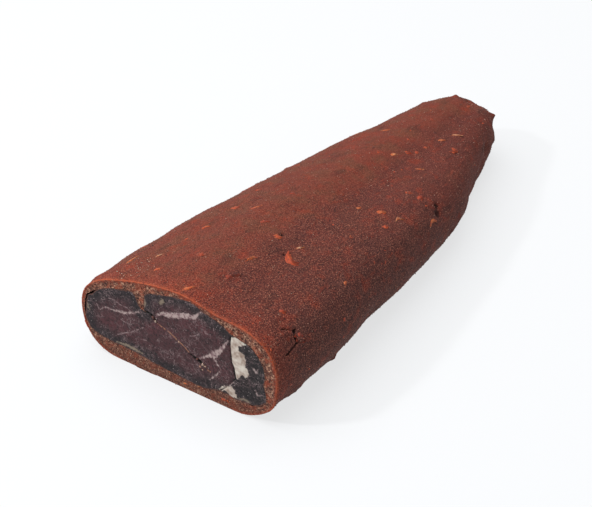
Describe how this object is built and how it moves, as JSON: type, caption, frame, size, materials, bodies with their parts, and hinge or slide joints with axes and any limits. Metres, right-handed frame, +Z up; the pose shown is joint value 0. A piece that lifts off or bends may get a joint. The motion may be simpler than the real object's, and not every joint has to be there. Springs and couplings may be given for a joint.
{
  "type": "cured beef",
  "caption": "Half stick of pressed, air-dried beef in a jacket of red spice paste, tapering to a blunt end, with the sliced face showing marbled meat and seams of fat.",
  "frame": {"origin": "on the underside, under the middle of the whole piece's box", "axes": "+Z up from the flat underside, +Y along the piece from the sliced face to the blunt end, +X to the right for someone who looks at the sliced face"},
  "size_m": [0.1152, 0.2618, 0.0536],
  "materials": {
    "spice_paste": "matte",
    "dried_beef": "satin"
  },
  "bodies": {
    "root": {"spice_coat": "spice_paste", "beef": "dried_beef"}
  },
  "joints": []
}
